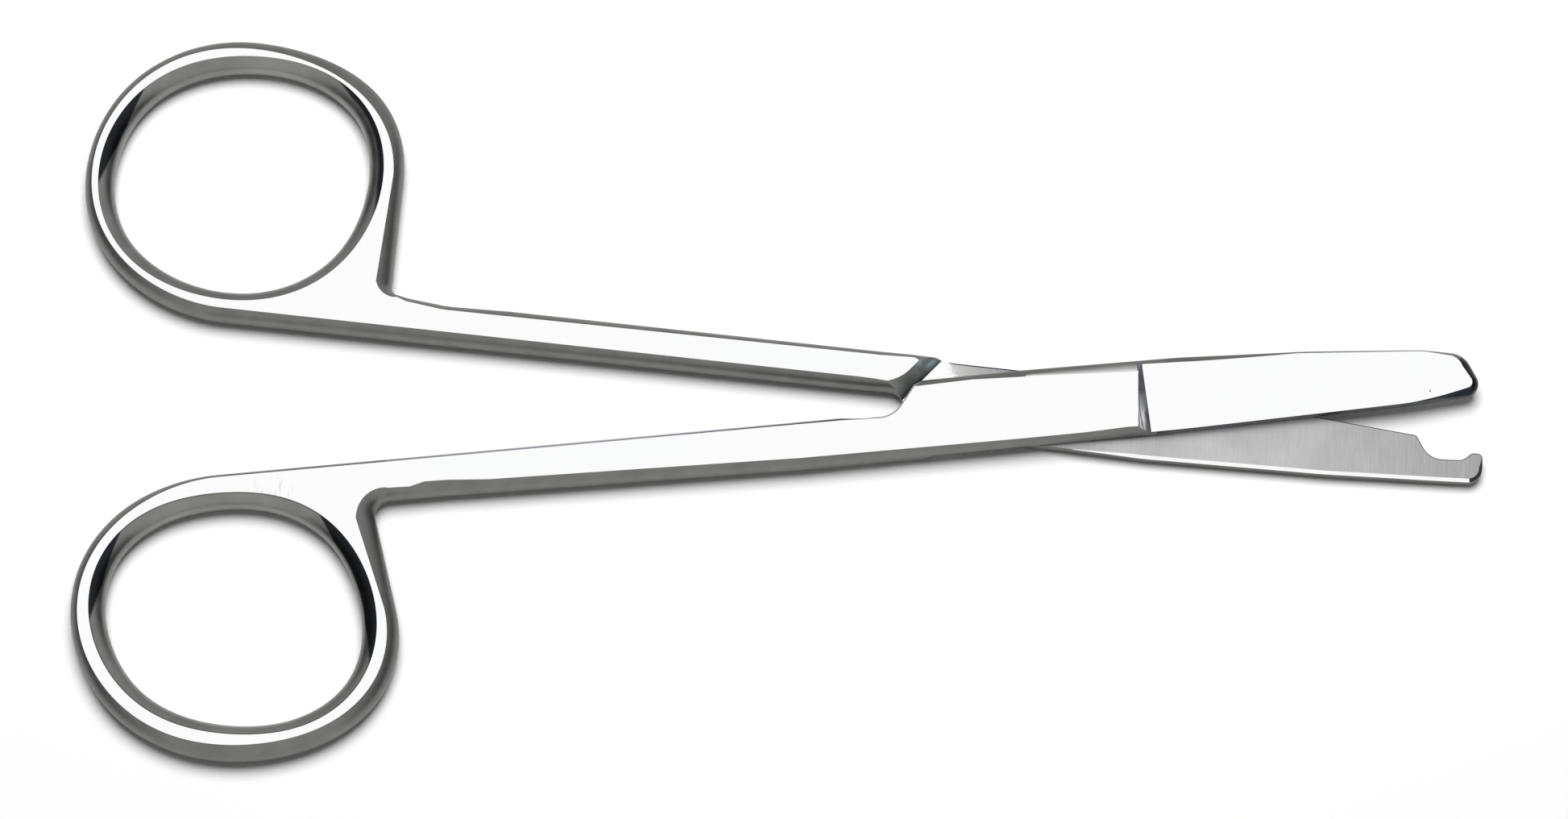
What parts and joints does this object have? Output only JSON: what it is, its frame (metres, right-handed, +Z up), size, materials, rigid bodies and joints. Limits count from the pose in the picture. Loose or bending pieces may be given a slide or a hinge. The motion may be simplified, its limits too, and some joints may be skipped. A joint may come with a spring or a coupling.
{
  "type": "suture scissors",
  "caption": "Slim steel stitch scissors lying a little open, with oval finger rings, one blunt plain blade and one blade with a hooked tip, pivoting on a flush screw.",
  "frame": {"origin": "centre of the bounding box on the surface that the scissors lie on", "axes": "+X along the scissors from the finger rings to the tips, +Z up out of the surface, +Y across towards the back half's finger ring"},
  "size_m": [0.114, 0.062, 0.0026],
  "materials": {
    "polished_steel": "mirror-polished flat faces, satin rounded flanks, cross-ground inner blade faces",
    "screw_steel": "fine turned steel"
  },
  "bodies": {
    "front": {"front_half": "polished_steel", "pivot_screw": "screw_steel"},
    "back": {"back_half": "polished_steel"}
  },
  "joints": [
    {"name": "pivot", "type": "hinge", "parent": "front", "child": "back", "pos_m": [0.02051, -0.00138, 0.0013], "axis": [0, 0, -1], "range_deg": [-10.3, 120]}
  ]
}
